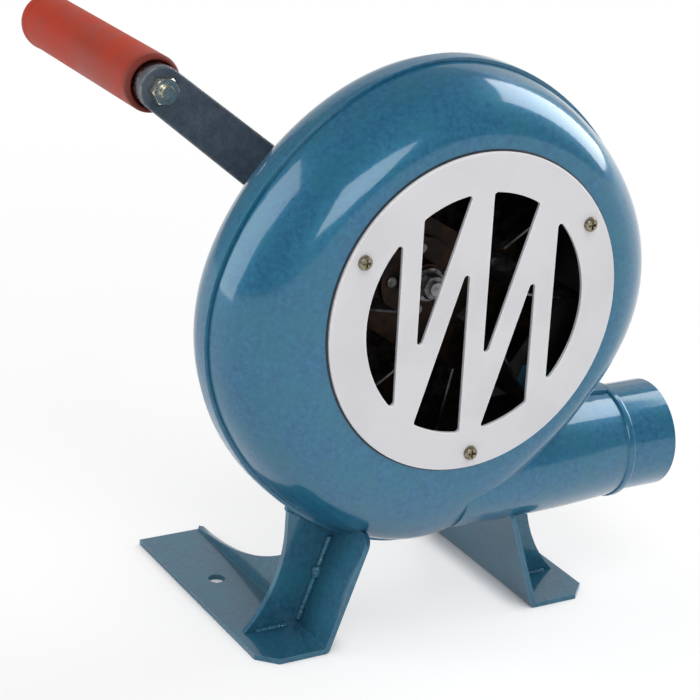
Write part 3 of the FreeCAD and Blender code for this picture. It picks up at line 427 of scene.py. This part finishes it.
plate_low, plate_high = (Vector(corner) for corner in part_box("intake_plate"))
plate_middle = (plate_low + plate_high) / 2.0
plate_reach = (plate_high.x - plate_low.x) / 2.0
# Painted shade: a thin black ring round the plate's rim stands in for the shadow in the gap at the
# casing.
plate_bead = make_ring("plate_bead", (plate_middle.x, plate_high.y, plate_middle.z),
                       plate_reach + shade_ring_thickness * shade_ring_overhang, shade_ring_thickness,
                       shade_ring_rise, black_sealant)
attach(plate_bead, "housing")


# Feet and gussets
# Each foot is bent from 2.5 mm sheet and welded under the casing with an upright gusset.
# They carry a darker copy of the casing's enamel all over, as painted shade under the casing.

# Darker copy of the casing's blues, painted shade for the feet, gussets and welds:
shaded_foot_deep = (0.010, 0.075, 0.142, 1.0)
shaded_foot_light = (0.036, 0.150, 0.235, 1.0)
weld_radius = 0.0016
weld_step = 0.0016
weld_swell = 0.22
weld_end = 0.45
weld_sink = 0.3
corner_weld_out = 0.5
toe_weld_rise = 0.2
left_weld_top = 0.043
right_weld_top = 0.036
corner_seed = 3
tack_seed = 5
toe_seed = 7
rim_seed = 9
tack_radius = 0.0030
tack_length = 0.006
tack_height = 0.027
foot_sheet = 0.0025
web_lean = math.radians(19.3)
web_foot = 0.053
gusset_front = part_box("left_gusset")[0][1]
rim_weld_radius = 0.0021
rim_weld_start = (-0.0640, 0.0605)
rim_weld_end = (-0.0535, 0.0545)
toe_weld_length = 0.016
toe_weld_start = 0.060


def make_weld(name, start, end, radius, seed):
    """Bead of weld between two points, drawn out ripple by ripple."""
    run = end - start
    ripples = max(2, round(run.length / weld_step))
    chance = random.Random(seed)
    bpy.ops.object.select_all(action="DESELECT")
    bpy.ops.mesh.primitive_circle_add(vertices=10, radius=radius * weld_end, fill_type="NGON",
                                      location=(0.0, 0.0, 0.0))
    bead = bpy.context.object
    bead.name = name
    bpy.ops.object.mode_set(mode="EDIT")
    bpy.ops.mesh.select_all(action="SELECT")
    width = weld_end
    step = run.length / (2 * ripples)
    for index in range(2 * ripples):
        swell = 1.0 + weld_swell * (chance.random() - 0.5)
        if index % 2:
            swell -= weld_swell
        if index == 2 * ripples - 1:
            swell = weld_end
        bpy.ops.mesh.extrude_region_move(TRANSFORM_OT_translate={"value": (0.0, 0.0, step)})
        bpy.ops.transform.resize(value=(swell / width, swell / width, 1.0),
                                 center_override=(0.0, 0.0, step * (index + 1)))
        width = swell
    bpy.ops.mesh.select_all(action="SELECT")
    bpy.ops.mesh.normals_make_consistent(inside=False)
    bpy.ops.object.mode_set(mode="OBJECT")
    bead.rotation_euler = run.to_track_quat("Z", "Y").to_euler()
    bead.location = start
    bpy.ops.object.transform_apply(location=True, rotation=True, scale=True)
    bpy.ops.object.modifier_add(type="SUBSURF")
    smooth = bead.modifiers[-1]
    smooth.levels = 2
    smooth.render_levels = 2
    bpy.ops.object.modifier_apply(modifier=smooth.name)
    bpy.ops.object.shade_smooth()
    bead.data.materials.append(foot_enamel)
    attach(bead, "housing")
    return bead


def gusset_corner(side, height):
    """Corner between a web's outer face and its gusset's front, at a height."""
    across = web_foot + foot_sheet / math.cos(web_lean) - math.tan(web_lean) * height
    return Vector((side * (across + weld_radius * corner_weld_out),
                   gusset_front - weld_radius * weld_sink, height))


# Painted shade: the feet, gussets and welds get the darker copy of the enamel.
foot_enamel = make_enamel("foot_enamel", shaded_foot_deep, shaded_foot_light)
dress(["left_foot", "right_foot", "left_gusset", "right_gusset"], foot_enamel)

for name, side, top in (("left", -1.0, left_weld_top), ("right", 1.0, right_weld_top)):
    make_weld(name + "_corner_weld", gusset_corner(side, foot_sheet + weld_radius),
              gusset_corner(side, top), weld_radius, corner_seed)
    tack = gusset_corner(side, tack_height)
    make_weld(name + "_tack_weld", tack - Vector((0.0, 0.0, tack_length / 2.0)),
              tack + Vector((0.0, 0.0, tack_length / 2.0)), tack_radius, tack_seed)
    toe = Vector((side * toe_weld_start, gusset_front - weld_radius * weld_sink,
                  foot_sheet + weld_radius * toe_weld_rise))
    make_weld(name + "_toe_weld", toe, toe + Vector((side * toe_weld_length, 0.0, 0.0)),
              weld_radius, toe_seed)
make_weld("left_rim_weld", Vector((rim_weld_start[0], gusset_front, rim_weld_start[1])),
          Vector((rim_weld_end[0], gusset_front, rim_weld_end[1])), rim_weld_radius, rim_seed)


# Gear case
# A pressed drum on the rear shell holds the two-stage gear train behind a flat cover.
# The drum and the cover are enamelled; zinc screws hold them and bronze bushes the shafts.

zinc_bright = (0.620, 0.630, 0.650, 1.0)
zinc_dull = (0.330, 0.340, 0.350, 1.0)
bronze_bright = (0.500, 0.310, 0.140, 1.0)
bronze_dull = (0.230, 0.140, 0.070, 1.0)
steel_bright = (0.480, 0.480, 0.490, 1.0)
steel_dull = (0.230, 0.230, 0.235, 1.0)
gear_bright = (0.260, 0.255, 0.250, 1.0)
gear_grease = (0.060, 0.048, 0.036, 1.0)
seal_radius = 0.0062
seal_thickness = 0.0009
seal_rise = 0.9

zinc_plate = make_plated("zinc_plate", zinc_bright, zinc_dull, 0.22, 520.0)
ground_steel = make_plated("ground_steel", steel_bright, steel_dull, 0.28, 300.0)
dress(["gear_housing", "gear_cover"], casing_enamel)
dress(["cover_screws", "case_screws", "case_nuts"], zinc_plate)
dress(["fan_bush", "crank_bush"],
      make_plated("oiled_bronze", bronze_bright, bronze_dull, 0.34, 450.0))
dress(["lay_pin", "lay_washers", "gear_pin", "crank_shaft", "fan_shaft", "fan_thrust_washer"],
      ground_steel)
dress(["crank_gear", "lay_gear", "lay_pinion", "fan_pinion"],
      make_plated("greased_steel", gear_bright, gear_grease, 0.30, 160.0))

bush_low, bush_high = (Vector(corner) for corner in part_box("crank_bush"))
bush_middle = (bush_low + bush_high) / 2.0
shaft_seal = make_ring("shaft_seal", (bush_middle.x, bush_high.y, bush_middle.z), seal_radius,
                       seal_thickness, seal_rise, black_sealant)
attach(shaft_seal, "housing")


# Crank arm, its nut and the handle bolt
# The arm is a flat bar with round ends, painted dark slate, with the paint rubbed off its edges.
# It sits on two flats of the crank shaft under a nut; the handle bolt turns in the other end.

slate = (0.036, 0.050, 0.070, 1.0)
slate_light = (0.075, 0.095, 0.120, 1.0)
rubbed_edge = (0.480, 0.460, 0.420, 1.0)
worn_bright = (0.700, 0.680, 0.600, 1.0)
worn_dark = (0.120, 0.115, 0.105, 1.0)
arm_flakes_per_metre = 1100.0
arm_mottle_per_metre = 240.0
arm_paint_depth = 0.00003
arm_edge_radius = 0.0014
chips_per_metre = 380.0
arm_roughness = 0.38
arm_coat = 0.25
arm_coat_roughness = 0.2


def make_arm_paint():
    """Dark paint that is chipped to bare steel along the edges."""
    material, tree, shader, coordinates = new_material("arm_paint")
    flake = set_group(tree, flake_group, {"Vector": coordinates, "Flakes": arm_flakes_per_metre,
                                          "Mottle": arm_mottle_per_metre})
    edges = set_group(tree, edge_group,
                      {"Radius": arm_edge_radius, "Height": flake.outputs["Tone"],
                       "Depth": arm_paint_depth})
    ragged = add_node(tree, "ShaderNodeTexNoise",
                      {"Vector": coordinates, "Scale": chips_per_metre, "Detail": 5.0,
                       "Roughness": 0.7})
    broken = add_node(tree, "ShaderNodeMapRange",
                      {"Value": ragged.outputs["Fac"], "From Min": 0.38, "From Max": 0.55})
    worn = add_node(tree, "ShaderNodeMath", {0: edges.outputs["Edge"], 1: broken.outputs["Result"]},
                    operation="MULTIPLY")
    face = mix_colours(tree, flake.outputs["Tone"], slate, slate_light)
    colour = mix_colours(tree, worn.outputs["Value"], face, rubbed_edge)
    tree.links.new(colour, shader.inputs["Base Color"])
    tree.links.new(worn.outputs["Value"], shader.inputs["Metallic"])
    tree.links.new(edges.outputs["Normal"], shader.inputs["Normal"])
    shader.inputs["Roughness"].default_value = arm_roughness
    shader.inputs["Coat Weight"].default_value = arm_coat
    shader.inputs["Coat Roughness"].default_value = arm_coat_roughness
    return material


dress(["crank_arm"], make_arm_paint())
dress(["arm_washer", "arm_nut", "handle_collar", "handle_washer"], zinc_plate)
dress(["handle_bolt", "handle_nut"],
      make_plated("worn_zinc", worn_bright, worn_dark, 0.24, 800.0))


# Grip
# A hollow handle moulded in red plastic, domed at the far end, that turns on the handle bolt.
# Its skin is matt and finely grained, darker and shiny where hands rub it; its ends and edges have
# painted brown shade.

grip_red = (0.385, 0.034, 0.013, 1.0)
grip_worn = (0.300, 0.036, 0.018, 1.0)
# Brown painted shade for the grip's ends and edges:
grip_shade_brown = (0.085, 0.024, 0.018, 1.0)
grip_shade_reach = 0.007
end_shade_near = 0.75
end_shade_far = 0.85
grip_grain_per_metre = 1300.0
grip_grain_depth = 0.00008
grip_cloud_per_metre = 42.0
grip_edge_radius = 0.0012
grip_new_roughness = 0.55
grip_rubbed_roughness = 0.42
grip_specular = 0.2


def make_grip_plastic():
    """Grained plastic, rubbed in clouds, with painted brown shade at both ends and along its edges.
    """
    material, tree, shader, coordinates = new_material("grip_plastic")
    grain = add_node(tree, "ShaderNodeTexNoise",
                     {"Vector": coordinates, "Scale": grip_grain_per_metre, "Detail": 3.0,
                      "Roughness": 0.6})
    cloud = add_node(tree, "ShaderNodeTexNoise",
                     {"Vector": coordinates, "Scale": grip_cloud_per_metre, "Detail": 4.0,
                      "Roughness": 0.6})
    rubbed = add_node(tree, "ShaderNodeMapRange",
                      {"Value": cloud.outputs["Fac"], "From Min": 0.42, "From Max": 0.66})
    edges = set_group(tree, edge_group,
                      {"Radius": grip_edge_radius, "Height": grain.outputs["Fac"],
                       "Depth": grip_grain_depth})
    along = add_node(tree, "ShaderNodeSeparateXYZ", {"Vector": coordinates})
    # Painted shade: brown at both ends of the grip and along its sharp edges.
    near_end = add_node(tree, "ShaderNodeMapRange",
                        {"Value": along.outputs["Y"], "From Min": grip_low.y,
                         "From Max": grip_low.y + grip_shade_reach, "To Min": end_shade_near,
                         "To Max": 0.0},
                        interpolation_type="SMOOTHSTEP")
    far_end = add_node(tree, "ShaderNodeMapRange",
                       {"Value": along.outputs["Y"], "From Min": grip_high.y - grip_shade_reach,
                        "From Max": grip_high.y, "To Min": 0.0, "To Max": end_shade_far},
                       interpolation_type="SMOOTHSTEP")
    ends = add_node(tree, "ShaderNodeMath",
                    {0: near_end.outputs["Result"], 1: far_end.outputs["Result"]},
                    operation="MAXIMUM")
    painted_shade = add_node(tree, "ShaderNodeMath",
                     {0: ends.outputs["Value"], 1: edges.outputs["Edge"]}, operation="MAXIMUM")
    skin = mix_colours(tree, rubbed.outputs["Result"], grip_red, grip_worn)
    colour = mix_colours(tree, painted_shade.outputs["Value"], skin, grip_shade_brown)
    rough = add_node(tree, "ShaderNodeMapRange",
                     {"Value": rubbed.outputs["Result"], "To Min": grip_new_roughness,
                      "To Max": grip_rubbed_roughness})
    tree.links.new(colour, shader.inputs["Base Color"])
    tree.links.new(rough.outputs["Result"], shader.inputs["Roughness"])
    tree.links.new(edges.outputs["Normal"], shader.inputs["Normal"])
    shader.inputs["Specular IOR Level"].default_value = grip_specular
    return material


grip_low, grip_high = (Vector(corner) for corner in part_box("handle_grip"))
dress(["handle_grip"], make_grip_plastic())


# Fan
# Eight bent sheet blades are riveted to a steel disc on a flanged hub behind the guard.
# The bare sheet has gone dark and brown; the rivets and the blades' flanges stay paler.

disc_dark = (0.034, 0.028, 0.026, 1.0)
disc_rust = (0.100, 0.056, 0.036, 1.0)
blade_dark = (0.080, 0.080, 0.086, 1.0)
blade_pale = (0.270, 0.275, 0.290, 1.0)
oily_bright = (0.300, 0.300, 0.310, 1.0)
oily_dark = (0.060, 0.052, 0.046, 1.0)

blade_nodes = sorted(name for name in frame["nodes"] if name.startswith("fan_blade_"))
dress(["fan_hub", "fan_disc"], make_plated("fan_sheet", disc_dark, disc_rust, 0.42, 110.0))
dress(blade_nodes, make_plated("blade_sheet", blade_dark, blade_pale, 0.36, 140.0))
dress(["fan_rivets", "fan_washer", "fan_nut"],
      make_plated("oily_steel", oily_bright, oily_dark, 0.34, 380.0))


# Studio
# A plain pale floor in a white room. A tall window at the left, panels in front and at the right
# and a dim one behind light the enamel; a lamp overhead fills without being mirrored in it.

floor_white = (0.880, 0.880, 0.885, 1.0)
floor_shade = (0.840, 0.840, 0.845, 1.0)
fibres_per_metre = 90.0
floor_roughness = 0.9
floor_reach = 30.0
veil_start = 0.18
veil_end = 0.75
veil_near = 0.62
contact_reach = 0.012
backdrop_top = 0.0
ceiling_start = 0.08
ceiling_level = 0.24
aim = Vector((0.0, -0.020, 0.130))


def make_floor():
    """Paper floor that fades to white away from the blower and keeps its shadow."""
    bpy.ops.object.select_all(action="DESELECT")
    bpy.ops.mesh.primitive_circle_add(vertices=96, radius=floor_reach, fill_type="NGON",
                                      location=(0.0, 0.0, 0.0))
    floor = bpy.context.object
    floor.name = "floor"
    material, tree, shader, coordinates = new_material("floor_paper")
    fibre = add_node(tree, "ShaderNodeTexNoise",
                     {"Vector": coordinates, "Scale": fibres_per_metre, "Detail": 4.0})
    tone = add_node(tree, "ShaderNodeMapRange",
                    {"Value": fibre.outputs["Fac"], "To Min": 0.97, "To Max": 1.0})
    paper = mix_colours(tree, tone.outputs["Result"], floor_shade, floor_white)
    tree.links.new(paper, shader.inputs["Base Color"])
    shader.inputs["Roughness"].default_value = floor_roughness
    path = add_node(tree, "ShaderNodeLightPath")
    direct = add_node(tree, "ShaderNodeMath",
                      {0: path.outputs["Is Camera Ray"], 1: path.outputs["Is Glossy Ray"]},
                      operation="MAXIMUM")
    clear = add_node(tree, "ShaderNodeMath",
                     {0: direct.outputs["Value"], 1: path.outputs["Is Transmission Ray"]},
                     operation="MAXIMUM")
    away = add_node(tree, "ShaderNodeVectorMath", operation="LENGTH")
    tree.links.new(coordinates, away.inputs[0])
    near = add_node(tree, "ShaderNodeMath", {0: path.outputs["Is Camera Ray"], 1: veil_near},
                    operation="MULTIPLY")
    veil = add_node(tree, "ShaderNodeMapRange",
                    {"Value": away.outputs["Value"], "From Min": veil_start, "From Max": veil_end,
                     "To Min": near.outputs["Value"], "To Max": 1.0},
                    interpolation_type="SMOOTHSTEP")
    contact = add_node(tree, "ShaderNodeAmbientOcclusion", {"Distance": contact_reach}, samples=8)
    lifted = add_node(tree, "ShaderNodeMapRange",
                      {"Value": contact.outputs["AO"], "From Min": 0.45, "From Max": 0.95})
    open_veil = add_node(tree, "ShaderNodeMath",
                         {0: veil.outputs["Result"], 1: lifted.outputs["Result"]},
                         operation="MULTIPLY")
    share = add_node(tree, "ShaderNodeMath",
                     {0: clear.outputs["Value"], 1: open_veil.outputs["Value"]},
                     operation="MULTIPLY")
    white = add_node(tree, "ShaderNodeEmission", {"Color": (1.0, 1.0, 1.0, 1.0), "Strength": 1.0})
    blend = add_node(tree, "ShaderNodeMixShader")
    tree.links.new(share.outputs["Value"], blend.inputs[0])
    tree.links.new(shader.outputs["BSDF"], blend.inputs[1])
    tree.links.new(white.outputs["Emission"], blend.inputs[2])
    tree.links.new(blend.outputs["Shader"], tree.nodes["Material Output"].inputs["Surface"])
    floor.data.materials.append(material)


def add_lamp(name, place, width, height, watts):
    """Soft panel that faces the blower."""
    bpy.ops.object.light_add(type="AREA", location=place)
    lamp = bpy.context.object
    lamp.name = name
    lamp.data.shape = "RECTANGLE"
    lamp.data.size = width
    lamp.data.size_y = height
    lamp.data.energy = watts
    lamp.rotation_euler = (aim - Vector(place)).to_track_quat("-Z", "Y").to_euler()
    return lamp


def make_room():
    """White backdrop up to a dim ceiling; the camera sees white all round."""
    world = bpy.data.worlds.new("studio")
    world.use_nodes = True
    bpy.context.scene.world = world
    tree = world.node_tree
    path = add_node(tree, "ShaderNodeLightPath")
    sky = tree.nodes["Background"]
    height = add_node(tree, "ShaderNodeSeparateXYZ",
                      {"Vector": add_node(tree, "ShaderNodeTexCoord").outputs["Generated"]})
    ceiling = add_node(tree, "ShaderNodeMapRange",
                       {"Value": height.outputs["Z"], "From Min": backdrop_top,
                        "From Max": ceiling_start, "To Min": 1.0, "To Max": ceiling_level},
                       interpolation_type="SMOOTHSTEP")
    seen = add_node(tree, "ShaderNodeMath",
                    {0: path.outputs["Is Camera Ray"], 1: ceiling.outputs["Result"]},
                    operation="MAXIMUM")
    tree.links.new(seen.outputs["Value"], sky.inputs["Strength"])
    sky.inputs["Color"].default_value = (1.0, 1.0, 1.0, 1.0)


make_floor()
make_room()
add_lamp("left_window", (-1.34, 0.60, 0.76), 0.85, 1.33, 10.0)
add_lamp("front_panel", (-0.34, -1.37, 0.88), 0.95, 0.66, 8.0)
add_lamp("right_panel", (1.41, 0.10, 0.92), 0.93, 1.23, 18.0)
add_lamp("back_panel", (0.69, 1.48, 0.89), 2.2, 1.2, 3.8)
overhead = add_lamp("overhead", (-0.15, -0.75, 1.65), 0.9, 0.9, 12.5)
overhead.visible_glossy = False


# Camera
# It stands where the photograph was taken from, to the left of the intake and above it. Its
# values were fitted to the round plate, the outlet and the feet in the photograph.

camera_azimuth = math.radians(-31.98)
camera_elevation = math.radians(20.30)
camera_roll = math.radians(4.39)
camera_distance = 0.9737
focal_pixels = 2195.0
axis_pixel_x = 389.2
axis_pixel_y = 313.3
image_pixels = 700.0
sensor_width = 36.0


def make_camera():
    """Camera that looks at the aim point, rolled a little, with its axis off the picture's centre."""
    bpy.ops.object.camera_add()
    camera = bpy.context.object
    level = math.cos(camera_elevation)
    outwards = Vector((math.sin(camera_azimuth) * level, -math.cos(camera_azimuth) * level,
                       math.sin(camera_elevation)))
    right = (-outwards).cross(Vector((0.0, 0.0, 1.0))).normalized()
    up = right.cross(-outwards)
    side = right * math.cos(camera_roll) + up * math.sin(camera_roll)
    top = up * math.cos(camera_roll) - right * math.sin(camera_roll)
    turned = Matrix((side, top, outwards)).transposed().to_4x4()
    camera.matrix_world = Matrix.Translation(aim + outwards * camera_distance) @ turned
    camera.data.sensor_width = sensor_width
    camera.data.lens = focal_pixels * sensor_width / image_pixels
    camera.data.shift_x = (image_pixels / 2.0 - axis_pixel_x) / image_pixels
    camera.data.shift_y = (axis_pixel_y - image_pixels / 2.0) / image_pixels
    camera.data.clip_end = 100.0
    bpy.context.scene.camera = camera


make_camera()
bpy.context.scene.view_settings.view_transform = "Standard"
